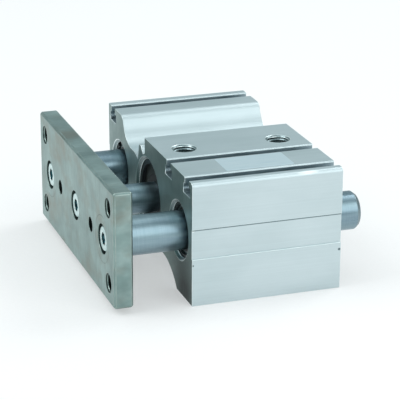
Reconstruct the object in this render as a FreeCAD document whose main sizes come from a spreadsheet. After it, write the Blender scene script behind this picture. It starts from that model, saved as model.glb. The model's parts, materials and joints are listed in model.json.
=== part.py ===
"""Guided pneumatic cylinder: 40 mm bore, 30 mm stroke, two 20 mm guide rods.

The document is in millimetres. X runs along the rods, with the mounting plate towards -X, Y runs
across the guide rods and Z points up. The origin is the centre of the threaded holes in the
underside of the barrel, on the face that the cylinder is bolted down by.
The rods are drawn part way out, with the plate PLATE_GAP in front of the barrel.
"""
import FreeCAD
import Part
import Sketcher
import math
import os
import re

# Driving dimensions: alias, value and meaning. Every one is a cell of the sheet "dims".
DIMENSIONS = [
    ("body_length", 79, "barrel extrusion, cut length"),
    ("body_width", 144, "barrel extrusion, across the guide rods"),
    ("body_height", 64, "barrel extrusion, underside to top"),
    ("axis_height", 33, "underside to the axis of piston and guide rods"),
    ("guide_offset", 51, "centre axis to each guide rod"),
    ("right_corner", 2.3, "rounding of the top right corner"),
    ("left_corner", 0.8, "rounding of the top left corner"),
    ("column_inner", 49.4, "centre to the flat top over the left guide rod"),
    ("shoulder_radius", 5, "rounding from that flat into the flank"),
    ("flank_angle", 70, "steepest slope of the flank"),
    ("ledge_height", 50.5, "low ledge between deck and left column"),
    ("ledge_edge", 24, "centre to the end of the ledge"),
    ("vee_middle", 17.8, "centre to the tip of the vee beside the rib"),
    ("vee_height", 48.4, "height of that tip"),
    ("rib_outer", 15.5, "outer side of the thin rib"),
    ("rib_inner", 12.5, "inner side of the thin rib"),
    ("rib_height", 57.5, "top of the thin rib"),
    ("gutter_middle", 8.6, "centre to the lowest line of the gutter"),
    ("gutter_height", 54, "height of that line"),
    ("gutter_corner", 55.5, "foot of the deck's side wall"),
    ("deck_edge", 5.5, "centre to the side wall of the port deck"),
    ("foot_inner", 48, "centre to the inner edge of each foot"),
    ("arch_inner", 25, "centre to where the arch between the feet is level"),
    ("arch_height", 11, "height of the arch"),
    ("belly_wall", 5, "wall under the bore"),
    ("band_low", 24.7, "lower edge of the shallow band in each side"),
    ("band_high", 40, "upper edge of that band"),
    ("band_depth", 0.5, "depth of that band"),
    ("slot_outer", 63.5, "centre to the two outer tee slots"),
    ("slot_inner", 34.8, "centre to the inner tee slot"),
    ("slot_mouth", 6.2, "mouth of a tee slot"),
    ("slot_round", 0.8, "rounding of the lips into the top"),
    ("slot_width", 10.4, "tee slot below its lips"),
    ("slot_lip", 3.5, "lip thickness"),
    ("slot_depth", 8.3, "top to the floor of a tee slot"),
    ("bore", 40, "cylinder bore"),
    ("bore_snap", 42.5, "diameter of the retaining ring grooves in the bore"),
    ("bore_snap_width", 1.85, "width of those grooves"),
    ("bore_snap_inset", 2, "end face to those grooves"),
    ("bore_ring_breadth", 3.8, "retaining ring of the bore, across its band"),
    ("bore_ring_lug", 5.6, "diameter of that ring's lugs"),
    ("bore_ring_eye", 2.5, "plier holes in the lugs"),
    ("bore_ring_opening", 14, "half the ring's opening, in degrees"),
    ("front_ring_turn", 152, "where the front ring's opening points, in degrees"),
    ("rear_ring_turn", 90, "where the rear ring's opening points, in degrees"),
    ("guide_bore", 28, "housing bore of the guide bushings"),
    ("guide_snap", 29.4, "diameter of the retaining ring grooves in a guide bore"),
    ("guide_snap_width", 1.3, "width of those grooves"),
    ("guide_snap_inset", 2, "end face to those grooves"),
    ("guide_ring_breadth", 2, "retaining ring of a guide bore, across its band"),
    ("guide_ring_opening", 12, "half that ring's opening, in degrees"),
    ("guide_ring_turn", 60, "where its opening points, up from straight outwards, in degrees"),
    ("ring_play", 0.1, "play of a retaining ring in its groove, along the bore"),
    ("mouth_chamfer", 1.4, "chamfer of guide bore mouths"),
    ("bore_chamfer", 1.6, "chamfer of the bore mouths"),
    ("port_spacing", 51.2, "between the two ports"),
    ("port_offset", 17.8, "centre axis to the ports"),
    ("port_drill", 11.4, "core of the G 1/4 port thread"),
    ("port_mouth", 13.2, "countersink of a port"),
    ("port_depth", 12, "depth of a port thread"),
    ("passage", 5, "air passage from a port to the bore"),
    ("passage_depth", 26, "top to the end of a passage"),
    ("base_spacing_x", 44, "underside M10 holes, along the rods"),
    ("base_spacing_y", 120, "underside M10 holes, across"),
    ("base_depth", 15, "depth of the underside holes"),
    ("rear_spacing_y", 124, "rear M8 holes, across"),
    ("rear_spacing_z", 34, "rear M8 holes, upright"),
    ("rear_depth", 16, "depth of the rear holes"),
    ("m10_drill", 8.5, "core of an M10 thread"),
    ("m8_drill", 6.8, "core of an M8 thread"),
    ("plate_gap", 29.5, "barrel to plate as drawn"),
    ("plate_width", 142, "mounting plate, across"),
    ("plate_height", 60, "mounting plate, upright"),
    ("plate_thickness", 10, "mounting plate, along the rods"),
    ("plate_edge", 1, "chamfer round the plate"),
    ("plate_spacing_y", 122, "plate M10 holes, across"),
    ("plate_spacing_z", 39, "plate M10 holes, upright"),
    ("plate_mouth", 10.4, "countersink of a plate M10 hole"),
    ("dowel_spacing", 59, "dowel holes in the plate"),
    ("dowel_hole", 7.6, "diameter of a dowel hole"),
    ("screw_hole", 9, "plate hole for a screw"),
    ("screw_head", 13, "low head of an M8 socket screw"),
    ("screw_head_height", 5, "height of that head"),
    ("screw_socket", 6, "hexagon socket, across flats"),
    ("screw_socket_depth", 3.4, "depth of the socket"),
    ("screw_edge", 0.6, "chamfer of the head"),
    ("screw_shank", 8, "M8 thread, outside"),
    ("screw_reach", 14, "thread past the plate"),
    ("screw_spare", 4, "screw hole in a rod past the screw's end"),
    ("counterbore", 15.4, "plate recess for a screw head"),
    ("counterbore_depth", 5.6, "depth of that recess"),
    ("guide_rod", 20, "guide rod diameter"),
    ("guide_tail", 16, "guide rod past the barrel's rear face as drawn"),
    ("guide_tip", 2, "chamfer at a guide rod's rear tip, along the rod"),
    ("guide_tip_drop", 1.5, "the same chamfer, across the rod"),
    ("piston_rod", 16, "piston rod diameter"),
    ("end_chamfer", 0.8, "chamfer of a thread's end and of a rod's front end"),
    ("spigot", 10, "thread that carries the piston"),
    ("spigot_inset", 0.6, "end of that thread inside the piston's rear face"),
    ("cover_length", 15, "rod cover"),
    ("cover_land", 6, "rod cover's full diameter land"),
    ("cover_nose", 34, "rod cover inside the land"),
    ("rod_passage", 0.4, "radial gap between the piston rod and the rod cover's nose"),
    ("rod_bush_length", 9, "bush in the rod cover"),
    ("rod_bush", 19, "outside of that bush"),
    ("rod_seal", 24, "outside of the rod seal"),
    ("rod_seal_length", 4.5, "rod seal"),
    ("seal_lip", 0.9, "width of a rod seal's or wiper's lips"),
    ("seal_slope", 0.6, "slope from a lip to the hollow between the lips"),
    ("seal_relief", 1.1, "depth of that hollow"),
    ("head_length", 6.5, "head cover"),
    ("cord_groove", 2.2, "width of an O-ring groove"),
    ("cord", 1.7, "O-ring section"),
    ("piston_length", 14.4, "piston without its bumpers"),
    ("piston_diameter", 39.2, "piston body"),
    ("seal_start", 1.6, "piston's front face to the groove of its seal"),
    ("seal_width", 3.2, "width of that groove"),
    ("seal_depth", 4, "depth of that groove"),
    ("wear_start", 6, "piston's front face to the groove of the wear ring"),
    ("wear_width", 3.6, "width of that groove"),
    ("wear_depth", 1.5, "depth of that groove"),
    ("magnet_start", 10.7, "piston's front face to the groove of the magnet"),
    ("magnet_width", 2.4, "width of that groove"),
    ("magnet_depth", 3, "depth of that groove"),
    ("nut_across", 16, "nut behind the piston, across flats"),
    ("nut_height", 5, "height of that nut"),
    ("nut_recess", 21, "diameter of the recess that the nut sits in"),
    ("nut_recess_depth", 6, "depth of that recess"),
    ("bumper_length", 2.5, "rubber bumper on each end of the piston"),
    ("bumper_seat", 1, "depth to which a bumper is set into the piston"),
    ("bumper_edge", 0.6, "chamfer of a bumper"),
    ("bumper_outer", 33, "outside of a bumper"),
    ("bumper_inner", 25, "inside of a bumper"),
    ("rear_play", 17.7, "rear bumper to the head cover as drawn"),
    ("bushing_length", 30, "guide bushing"),
    ("wiper_length", 4, "guide wiper"),
    ("running_gap", 0.05, "radial clearance of rods in their bushings and seals"),
    ("seat_gap", 0.02, "radial clearance of a seated ring, cover or bushing"),
    ("fine_edge", 0.3, "chamfer of turned rings, seals and covers"),
    ("cut_over", 1, "how far a cut is drawn past the surface"),
]
ALIASES = {alias for alias, size, note in DIMENSIONS}

# Lengths that several parts share, as formulas on the sheet.
HALF_WIDTH = "body_width / 2"
FRONT = "(-body_length / 2)"
REAR = "(body_length / 2)"
SWEEP = "((body_height - ledge_height) / (1 - cos(flank_angle)) - shoulder_radius)"
LEDGE_START = f"(column_inner - ({SWEEP} + shoulder_radius) * sin(flank_angle))"
ARCH = "(((foot_inner - arch_inner) ^ 2 + arch_height ^ 2) / (2 * arch_height))"
BELLY = "sqrt((bore / 2 + belly_wall) ^ 2 - (axis_height - arch_height) ^ 2)"
PLATE_BACK = f"({FRONT} - plate_gap)"
COVER_FACE = f"({FRONT} + bore_snap_inset + bore_snap_width)"
HEAD_FACE = f"({REAR} - bore_snap_inset - bore_snap_width - head_length)"
PISTON_FRONT = f"({HEAD_FACE} - rear_play - bumper_length - piston_length)"
GUIDE_STOP = "(guide_snap_inset + guide_snap_width)"

doc = FreeCAD.newDocument("guided_cylinder")
sheet = doc.addObject("Spreadsheet::Sheet", "dims")


# ---------------------------------------------------------------- sheet and expressions

def fill_sheet():
    """Write each driving dimension to the sheet as a plain number with an alias."""
    for row, (alias, size, note) in enumerate(DIMENSIONS, start=1):
        sheet.set(f"A{row}", note)
        sheet.set(f"B{row}", str(size))
        sheet.setAlias(f"B{row}", alias)
    doc.recompute()


def bind(formula):
    """Return the formula with each alias written as a cell of the sheet."""
    def cell(match):
        word = match.group(0)
        return f"dims.{word}" if word in ALIASES else word
    return re.sub(r"[a-z][a-z_0-9]*", cell, str(formula))


def value(formula):
    """Work a formula out from the sheet's present values."""
    return float(sheet.evalExpression(bind(formula)))


# ---------------------------------------------------------------- sketches

def add_sketch(body, plane, name, shift=("0", "0", "0")):
    """Start a sketch on one of the body's own origin planes, moved by three formulas."""
    sketch = body.newObject("Sketcher::SketchObject", name)
    support = next(item for item in body.Origin.OriginFeatures if item.Role == plane)
    sketch.AttachmentSupport = [(support, "")]
    sketch.MapMode = "FlatFace"
    for axis, formula in zip("xyz", shift):
        sketch.setExpression(f"AttachmentOffset.Base.{axis}", bind(formula))
    return sketch


def pin_point(sketch, geometry, position, u, v):
    """Hold a point of the sketch at two formulas from the sketch's origin."""
    for kind, formula in (("DistanceX", u), ("DistanceY", v)):
        distance = Sketcher.Constraint(kind, -1, 1, geometry, position, value(formula))
        sketch.setExpression(f"Constraints[{sketch.addConstraint(distance)}]", bind(formula))


def pin_centre(sketch, geometry, chord, centre):
    """Hold an arc's centre along the direction that its chord leaves free."""
    use_u = abs(chord.y) >= abs(chord.x)
    formula = centre[0] if use_u else centre[1]
    kind = "DistanceX" if use_u else "DistanceY"
    distance = Sketcher.Constraint(kind, -1, 1, geometry, 3, value(formula))
    sketch.setExpression(f"Constraints[{sketch.addConstraint(distance)}]", bind(formula))


def draw_outline(sketch, corners):
    """Draw a closed outline. Each corner is (u, v), or (u, v, centre) where an arc of less than
    half a turn about that centre leads to it from the corner before."""
    places = [FreeCAD.Vector(value(corner[0]), value(corner[1]), 0) for corner in corners]
    edges = []
    for index, corner in enumerate(corners):
        start, end = places[index - 1], places[index]
        if len(corner) == 2:
            edge = sketch.addGeometry(Part.LineSegment(start, end), False)
            edges.append((edge, 1, 2))
            continue
        centre = FreeCAD.Vector(value(corner[2][0]), value(corner[2][1]), 0)
        anticlockwise = (start - centre).cross(end - centre).z > 0
        first, last = (start, end) if anticlockwise else (end, start)
        angles = [math.atan2((p - centre).y, (p - centre).x) for p in (first, last)]
        circle = Part.Circle(centre, FreeCAD.Vector(0, 0, 1), (start - centre).Length)
        edge = sketch.addGeometry(Part.ArcOfCircle(circle, *angles), False)
        edges.append((edge, 1, 2) if anticlockwise else (edge, 2, 1))
    for index, corner in enumerate(corners):
        edge, head, tail = edges[index]
        follower, follower_head, follower_tail = edges[(index + 1) % len(edges)]
        sketch.addConstraint(Sketcher.Constraint("Coincident", edge, tail, follower, follower_head))
        pin_point(sketch, edge, tail, corner[0], corner[1])
        if len(corner) == 3:
            pin_centre(sketch, edge, places[index] - places[index - 1], corner[2])


def draw_circle(sketch, u, v, diameter):
    """Draw a circle with its centre and diameter bound to formulas."""
    centre = FreeCAD.Vector(value(u), value(v), 0)
    circle = Part.Circle(centre, FreeCAD.Vector(0, 0, 1), value(diameter) / 2)
    edge = sketch.addGeometry(circle, False)
    pin_point(sketch, edge, 3, u, v)
    size = sketch.addConstraint(Sketcher.Constraint("Diameter", edge, value(diameter)))
    sketch.setExpression(f"Constraints[{size}]", bind(diameter))


# ---------------------------------------------------------------- features

def new_body(name, x="0", side="0", z="0"):
    """Start a sub-part: a PartDesign body whose placement is bound to formulas."""
    body = doc.addObject("PartDesign::Body", name)
    body.Label = name
    for axis, formula in zip("xyz", (x, side, z)):
        body.setExpression(f"Placement.Base.{axis}", bind(formula))
    return body


def finish_feature(body, feature, removes=False):
    """Recompute, and stop if the feature failed or changed the volume the wrong way."""
    before = feature.BaseFeature.Shape.Volume if feature.BaseFeature else 0
    doc.recompute()
    change = feature.Shape.Volume - before
    if "Invalid" in feature.State or (change >= 0 if removes else change <= 0):
        raise RuntimeError(f"{body.Label}: {feature.Name} changed the volume by {change:.1f}")
    return feature


def pad(body, sketch, length, midplane=False):
    feature = body.newObject("PartDesign::Pad", "Pad")
    feature.Profile = sketch
    feature.Midplane = midplane
    feature.setExpression("Length", bind(length))
    return finish_feature(body, feature)


def pocket(body, sketch, depth=None, midplane=False, reversed_way=False):
    """Cut a sketch to a depth, or right through where no depth is given."""
    feature = body.newObject("PartDesign::Pocket", "Pocket")
    feature.Profile = sketch
    feature.Midplane = midplane
    feature.Reversed = reversed_way
    if depth is None:
        feature.Type = "ThroughAll"
    else:
        feature.setExpression("Length", bind(depth))
    return finish_feature(body, feature, removes=True)


def spin(body, sketch, removes=False):
    """Turn a half section about the sketch's horizontal axis, as metal or as a cut."""
    kind = "Groove" if removes else "Revolution"
    feature = body.newObject(f"PartDesign::{kind}", kind)
    feature.Profile = sketch
    feature.ReferenceAxis = (sketch, ["H_Axis"])
    feature.Angle = 360
    return finish_feature(body, feature, removes)


def drill(body, sketch, diameter, depth=None, cut="None", mouth=None, step=None, reverse=False):
    """Drill at the sketch's circles, with a countersink or counterbore where one is named."""
    doc.recompute()
    feature = body.newObject("PartDesign::Hole", "Hole")
    feature.Profile = sketch
    doc.recompute()
    feature.Reversed = reverse
    feature.setExpression("Diameter", bind(diameter))
    feature.DepthType = "ThroughAll" if depth is None else "Dimension"
    if depth is not None:
        feature.setExpression("Depth", bind(depth))
    feature.HoleCutType = cut
    if cut != "None":
        feature.HoleCutCustomValues = True
        feature.setExpression("HoleCutDiameter", bind(mouth))
    if cut == "Countersink":
        feature.HoleCutCountersinkAngle = 90
    if step is not None:
        feature.setExpression("HoleCutDepth", bind(step))
    return finish_feature(body, feature, removes=True)


def grid(spacing_u, spacing_v):
    """Return the four centres of a rectangular pattern, as pairs of formulas."""
    signs = ((-1, -1), (1, -1), (1, 1), (-1, 1))
    return [(f"{su} * {spacing_u} / 2", f"{sv} * {spacing_v} / 2") for su, sv in signs]


def polar(radius, turn, angle):
    """Return the point at a radius and at an angle past turn, as a pair of formulas."""
    return (f"{radius} * cos({turn} + {angle})", f"{radius} * sin({turn} + {angle})")


def hexagon(across):
    """Corners of a hexagon from its size across flats."""
    corner = f"({across} / 2 / cos(30))"
    return [polar(corner, "0", str(60 * side)) for side in range(6)]


def turned(name, corners, x, side="0"):
    """Make a turned sub-part on the rod axis from its half section (along X, radius)."""
    body = new_body(name, x, side, "axis_height")
    sketch = add_sketch(body, "XZ_Plane", f"{name}_section")
    draw_outline(sketch, corners)
    spin(body, sketch)
    return body


def sleeve(length, inner, outer, edge="fine_edge"):
    """Half section of a plain ring with chamfered outer corners. inner, outer are diameters."""
    return [
        ("0", f"({inner}) / 2"),
        (f"({length})", f"({inner}) / 2"),
        (f"({length})", f"({outer}) / 2 - {edge}"),
        (f"({length}) - {edge}", f"({outer}) / 2"),
        (edge, f"({outer}) / 2"),
        ("0", f"({outer}) / 2 - {edge}"),
    ]


# ---------------------------------------------------------------- barrel

def barrel_outline():
    """Corners of the extrusion's outline (across, up), from the left foot anticlockwise."""
    arch_middle = f"arch_height - {ARCH}"
    side = f"({HALF_WIDTH} - band_depth)"
    left, right = f"({HALF_WIDTH} - left_corner)", f"(right_corner - {HALF_WIDTH})"
    left_top, right_top = "(body_height - left_corner)", "(body_height - right_corner)"
    flank = (f"{LEDGE_START} + {SWEEP} * sin(flank_angle)",
             f"ledge_height + {SWEEP} * (1 - cos(flank_angle))")
    return [
        (HALF_WIDTH, "0"),
        (HALF_WIDTH, "band_low"),
        (side, "band_low"),
        (side, "band_high"),
        (HALF_WIDTH, "band_high"),
        (HALF_WIDTH, left_top),
        (left, "body_height", (left, left_top)),
        ("column_inner", "body_height"),
        flank + (("column_inner", "body_height - shoulder_radius"),),
        (LEDGE_START, "ledge_height", (LEDGE_START, f"ledge_height + {SWEEP}")),
        ("ledge_edge", "ledge_height"),
        ("vee_middle", "vee_height"),
        ("rib_outer", "rib_height"),
        ("rib_inner", "rib_height"),
        ("gutter_middle", "gutter_height"),
        ("deck_edge", "gutter_corner"),
        ("deck_edge", "body_height"),
        (right, "body_height"),
        (f"-{HALF_WIDTH}", right_top, (right, right_top)),
        (f"-{HALF_WIDTH}", "band_high"),
        (f"-{side}", "band_high"),
        (f"-{side}", "band_low"),
        (f"-{HALF_WIDTH}", "band_low"),
        (f"-{HALF_WIDTH}", "0"),
        ("-foot_inner", "0"),
        ("-arch_inner", "arch_height", ("-arch_inner", arch_middle)),
        (f"-{BELLY}", "arch_height"),
        (BELLY, "arch_height", ("0", "axis_height")),
        ("arch_inner", "arch_height"),
        ("foot_inner", "0", ("arch_inner", arch_middle)),
    ]


def tee_slot(centre):
    """Corners of one tee slot in the top, with rounded lips, open above the surface."""
    mouth, wide = "slot_mouth / 2", "slot_width / 2"
    brim = f"{mouth} + slot_round"
    lip, floor = "body_height - slot_lip", "body_height - slot_depth"
    bend, above = "body_height - slot_round", "body_height + cut_over"

    def at(sign, half, height):
        return (f"{centre} {sign} ({half})", height)

    left = [at("-", brim, above), at("-", brim, "body_height"),
            at("-", mouth, bend) + (at("-", brim, bend),),
            at("-", mouth, lip), at("-", wide, lip), at("-", wide, floor)]
    right = [at("+", wide, floor), at("+", wide, lip), at("+", mouth, lip), at("+", mouth, bend),
             at("+", brim, "body_height") + (at("+", brim, bend),), at("+", brim, above)]
    return left + right


def stepped_bore(diameter, snap, snap_width, inset, chamfer):
    """Half section of a bore right through, with chamfered mouths and a ring groove by each."""
    wall, groove, mouth = f"{diameter} / 2", f"{snap} / 2", f"{diameter} / 2 + {chamfer}"
    half = [(mouth, "0"), (wall, chamfer), (wall, inset), (groove, inset),
            (groove, f"({inset} + {snap_width})"), (wall, f"({inset} + {snap_width})")]
    front = [(f"{FRONT} + {depth}", radius) for radius, depth in half]
    rear = [(f"{REAR} - {depth}", radius) for radius, depth in reversed(half)]
    return [(FRONT, "0")] + front + rear + [(REAR, "0")]


def bore_through(body, name, side, *sizes):
    """Cut a stepped bore on the rod axis, to one side of the middle. sizes as stepped_bore's."""
    sketch = add_sketch(body, "XZ_Plane", name, ("0", "axis_height", f"-({side})"))
    draw_outline(sketch, stepped_bore(*sizes))
    spin(body, sketch, removes=True)


def hole_sketch(body, plane, name, height, centres, diameter):
    """Sketch of equal circles on a plane at a height along the plane's own normal."""
    sketch = add_sketch(body, plane, name, ("0", "0", height))
    for u, v in centres:
        draw_circle(sketch, u, v, diameter)
    return sketch


def make_barrel():
    body = new_body("barrel_body")
    outline = add_sketch(body, "YZ_Plane", "extrusion")
    draw_outline(outline, barrel_outline())
    pad(body, outline, "body_length", midplane=True)

    slots = add_sketch(body, "YZ_Plane", "tee_slots")
    for centre in ("-slot_outer", "-slot_inner", "slot_outer"):
        draw_outline(slots, tee_slot(centre))
    pocket(body, slots, midplane=True)

    bore_through(body, "piston_bore", "0",
                 "bore", "bore_snap", "bore_snap_width", "bore_snap_inset", "bore_chamfer")
    for name, side in (("left_bore", "guide_offset"), ("right_bore", "-guide_offset")):
        bore_through(body, name, side, "guide_bore", "guide_snap", "guide_snap_width",
                     "guide_snap_inset", "mouth_chamfer")

    ports = [("-port_spacing / 2", "-port_offset"), ("port_spacing / 2", "-port_offset")]
    drill(body, hole_sketch(body, "XY_Plane", "ports", "body_height", ports, "port_drill"),
          "port_drill", "port_depth", "Countersink", "port_mouth")
    pocket(body, hole_sketch(body, "XY_Plane", "passages", "body_height", ports, "passage"),
           "passage_depth")

    base = hole_sketch(body, "XY_Plane", "base_holes", "0",
                       grid("base_spacing_x", "base_spacing_y"), "m10_drill")
    drill(body, base, "m10_drill", "base_depth", reverse=True)
    centres = [(u, f"axis_height + {v}") for u, v in grid("rear_spacing_y", "rear_spacing_z")]
    rear = hole_sketch(body, "YZ_Plane", "rear_holes", REAR, centres, "m8_drill")
    drill(body, rear, "m8_drill", "rear_depth")
    return body


# ---------------------------------------------------------------- covers, rings and seals

def snap_ring(name, x, side, style, turn):
    """Make an internal retaining ring of a style ("bore" or "guide"): a band that is open where
    turn, a formula in degrees, points."""
    body = new_body(name, x, side, "axis_height")
    outer = f"({style}_snap / 2 - seat_gap)"
    inner = f"({outer} - {style}_ring_breadth)"
    opening = f"{style}_ring_opening"
    stops = [opening, "120", "240", f"360 - {opening}"]
    corners = [polar(outer, turn, stops[0])]
    corners += [polar(outer, turn, angle) + (("0", "0"),) for angle in stops[1:]]
    corners += [polar(inner, turn, stops[-1])]
    corners += [polar(inner, turn, angle) + (("0", "0"),) for angle in reversed(stops[:-1])]
    band = add_sketch(body, "YZ_Plane", f"{name}_band")
    draw_outline(band, corners)
    pad(body, band, f"{style}_snap_width - ring_play")
    return body


def bore_ring(name, x, turn):
    """Make a retaining ring of the bore, with an eyed lug at each end of its band."""
    body = snap_ring(name, x, "0", "bore", turn)
    thickness = "bore_snap_width - ring_play"
    reach = "(bore_snap / 2 - seat_gap - bore_ring_lug / 2)"
    ends = [polar(reach, turn, "bore_ring_opening"), polar(reach, turn, "-bore_ring_opening")]
    lugs = hole_sketch(body, "YZ_Plane", f"{name}_lugs", "0", ends, "bore_ring_lug")
    pad(body, lugs, thickness)
    eyes = hole_sketch(body, "YZ_Plane", f"{name}_eyes", "0", ends, "bore_ring_eye")
    pocket(body, eyes, thickness, reversed_way=True)


def cord_ring(name, x, radius):
    """Make an O-ring that bears outwards at a radius, centred at x on the rod axis."""
    ring = doc.addObject("Part::Torus", name)
    ring.Label = name
    ring.setExpression("Radius1", bind(f"{radius} - cord / 2"))
    ring.setExpression("Radius2", bind("cord / 2 - seat_gap"))
    ring.Placement.Rotation = FreeCAD.Rotation(FreeCAD.Vector(0, 1, 0), 90)
    ring.setExpression("Placement.Base.x", bind(x))
    ring.setExpression("Placement.Base.z", bind("axis_height"))
    return ring


def cord_groove(middle, radius):
    """Corners of an O-ring groove in a turned outline, walked towards -X."""
    floor = f"({radius} - cord)"
    return [(f"{middle} + cord_groove / 2", radius), (f"{middle} + cord_groove / 2", floor),
            (f"{middle} - cord_groove / 2", floor), (f"{middle} - cord_groove / 2", radius)]


def lip_seal(length, inner, outer):
    """Half section of a ring seal with a lip at each end and a hollow between them."""
    lip, relief, back = f"({inner}) / 2", f"({inner}) / 2 + seal_relief", f"({outer}) / 2"
    return [
        ("0", lip),
        ("seal_lip", lip),
        ("seal_lip + seal_slope", relief),
        (f"{length} - seal_lip - seal_slope", relief),
        (f"{length} - seal_lip", lip),
        (length, lip),
        (length, f"{back} - fine_edge"),
        (f"{length} - fine_edge", back),
        ("0", back),
    ]


def make_front_cover():
    """Rod cover with its bush, seal, O-ring and retaining ring, in the front of the bore."""
    full, nose = "(bore / 2 - seat_gap)", "cover_nose / 2"
    bush_start, bush_end = "rod_seal_length", "(rod_seal_length + rod_bush_length)"
    clear = "(piston_rod / 2 + rod_passage)"
    turned("rod_cover", [
        ("0", "rod_seal / 2"),
        (bush_start, "rod_seal / 2"),
        (bush_start, "rod_bush / 2"),
        (bush_end, "rod_bush / 2"),
        (bush_end, clear),
        ("cover_length", clear),
        ("cover_length", f"{nose} - fine_edge"),
        ("cover_length - fine_edge", nose),
        ("cover_land", nose),
        ("cover_land", full),
        *cord_groove("cover_land / 2", full),
        ("fine_edge", full),
        ("0", f"{full} - fine_edge"),
    ], COVER_FACE)
    running = "piston_rod + 2 * running_gap"
    turned("rod_bush", sleeve("rod_bush_length", running, "rod_bush - 2 * seat_gap"),
           f"{COVER_FACE} + rod_seal_length")
    turned("rod_seal", lip_seal("rod_seal_length", running, "rod_seal - 2 * seat_gap"), COVER_FACE)
    cord_ring("rod_cover_o_ring", f"{COVER_FACE} + cover_land / 2", full)
    bore_ring("front_snap_ring", f"{FRONT} + bore_snap_inset", "front_ring_turn")


def make_rear_cover():
    """Head cover with its O-ring and retaining ring, in the rear of the bore."""
    full = "(bore / 2 - seat_gap)"
    turned("head_cover", [
        ("0", "0"),
        ("head_length", "0"),
        ("head_length", f"{full} - fine_edge"),
        ("head_length - fine_edge", full),
        *cord_groove("head_length / 2", full),
        ("fine_edge", full),
        ("0", f"{full} - fine_edge"),
    ], HEAD_FACE)
    cord_ring("head_cover_o_ring", f"{HEAD_FACE} + head_length / 2", full)
    bore_ring("rear_snap_ring", f"{REAR} - bore_snap_inset - bore_snap_width + ring_play",
              "rear_ring_turn")


def make_guide_bearings(hand, side, turn):
    """Bushings, wiper and retaining rings of the guide bore on one side."""
    running = "guide_rod + 2 * running_gap"
    seated = "guide_bore - 2 * seat_gap"
    bushing = sleeve("bushing_length", running, seated)
    turned(f"front_bushing_{hand}", bushing, f"{FRONT} + {GUIDE_STOP} + wiper_length", side)
    turned(f"rear_bushing_{hand}", bushing, f"{REAR} - {GUIDE_STOP} - bushing_length", side)
    turned(f"guide_wiper_{hand}", lip_seal("wiper_length", running, seated),
           f"{FRONT} + {GUIDE_STOP}", side)
    front, rear = f"{FRONT} + guide_snap_inset", f"{REAR} - {GUIDE_STOP} + ring_play"
    snap_ring(f"guide_ring_front_{hand}", front, side, "guide", turn)
    snap_ring(f"guide_ring_rear_{hand}", rear, side, "guide", turn)


# ---------------------------------------------------------------- plate, rods and piston

def make_plate():
    body = new_body("mounting_plate", f"{PLATE_BACK} - plate_thickness", "0", "axis_height")
    across, up = "plate_width / 2", "plate_height / 2"
    outline = add_sketch(body, "YZ_Plane", "plate_outline")
    draw_outline(outline, [(across, f"-{up}"), (across, up), (f"-{across}", up),
                           (f"-{across}", f"-{up}")])
    block = pad(body, outline, "plate_thickness")
    chamfer = body.newObject("PartDesign::Chamfer", "Chamfer")
    chamfer.Base = (block, [f"Edge{n + 1}" for n in range(len(block.Shape.Edges))])
    chamfer.setExpression("Size", bind("plate_edge"))
    finish_feature(body, chamfer, removes=True)

    corners = hole_sketch(body, "YZ_Plane", "corner_holes", "0",
                          grid("plate_spacing_y", "plate_spacing_z"), "m10_drill")
    drill(body, corners, "m10_drill", None, "Countersink", "plate_mouth", reverse=True)
    rods = [("-guide_offset", "0"), ("0", "0"), ("guide_offset", "0")]
    seats = hole_sketch(body, "YZ_Plane", "screw_holes", "0", rods, "screw_hole")
    drill(body, seats, "screw_hole", None, "Counterbore", "counterbore", "counterbore_depth",
          reverse=True)
    dowels = [("-dowel_spacing / 2", "0"), ("dowel_spacing / 2", "0")]
    drill(body, hole_sketch(body, "YZ_Plane", "dowel_holes", "0", dowels, "dowel_hole"),
          "dowel_hole", reverse=True)
    return body


def make_plate_screws():
    """Three low-head socket screws, drawn once and patterned across the plate."""
    seat = f"({PLATE_BACK} - plate_thickness + counterbore_depth)"
    body = new_body("plate_screws", f"{seat} - screw_head_height", "-guide_offset", "axis_height")
    body.AllowCompound = True
    head, shank = "screw_head / 2", "screw_shank / 2"
    end = "(screw_head_height + plate_thickness - counterbore_depth + screw_reach)"
    section = add_sketch(body, "XZ_Plane", "screw_section")
    draw_outline(section, [
        ("0", "0"),
        (end, "0"),
        (end, f"{shank} - end_chamfer"),
        (f"{end} - end_chamfer", shank),
        ("screw_head_height", shank),
        ("screw_head_height", head),
        ("screw_edge", head),
        ("0", f"{head} - screw_edge"),
    ])
    blank = spin(body, section)
    socket = add_sketch(body, "YZ_Plane", "socket")
    draw_outline(socket, hexagon("screw_socket"))
    recess = pocket(body, socket, "screw_socket_depth", reversed_way=True)
    row = body.newObject("PartDesign::LinearPattern", "LinearPattern")
    row.Originals = [blank, recess]
    row.Direction = (section, ["N_Axis"])
    row.Reversed = True
    row.Occurrences = 3
    row.setExpression("Length", bind("2 * guide_offset"))
    body.Tip = row
    finish_feature(body, row)
    return body


def rod_section(diameter, rear):
    """Half section of a rod with a screw hole in its front end. rear holds the rear end's
    corners, from the axis outwards."""
    thread, depth = "(screw_shank / 2 + seat_gap)", "(screw_reach + screw_spare)"
    return [("0", thread), (depth, thread), (depth, "0"), *rear,
            ("end_chamfer", f"{diameter} / 2"), ("0", f"{diameter} / 2 - end_chamfer")]


def make_guide_rod(hand, side):
    length = f"({REAR} + guide_tail - {PLATE_BACK})"
    tip = [(length, "0"), (length, "guide_rod / 2 - guide_tip_drop"),
           (f"{length} - guide_tip", "guide_rod / 2")]
    turned(f"guide_rod_{hand}", rod_section("guide_rod", tip), PLATE_BACK, side)


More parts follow.
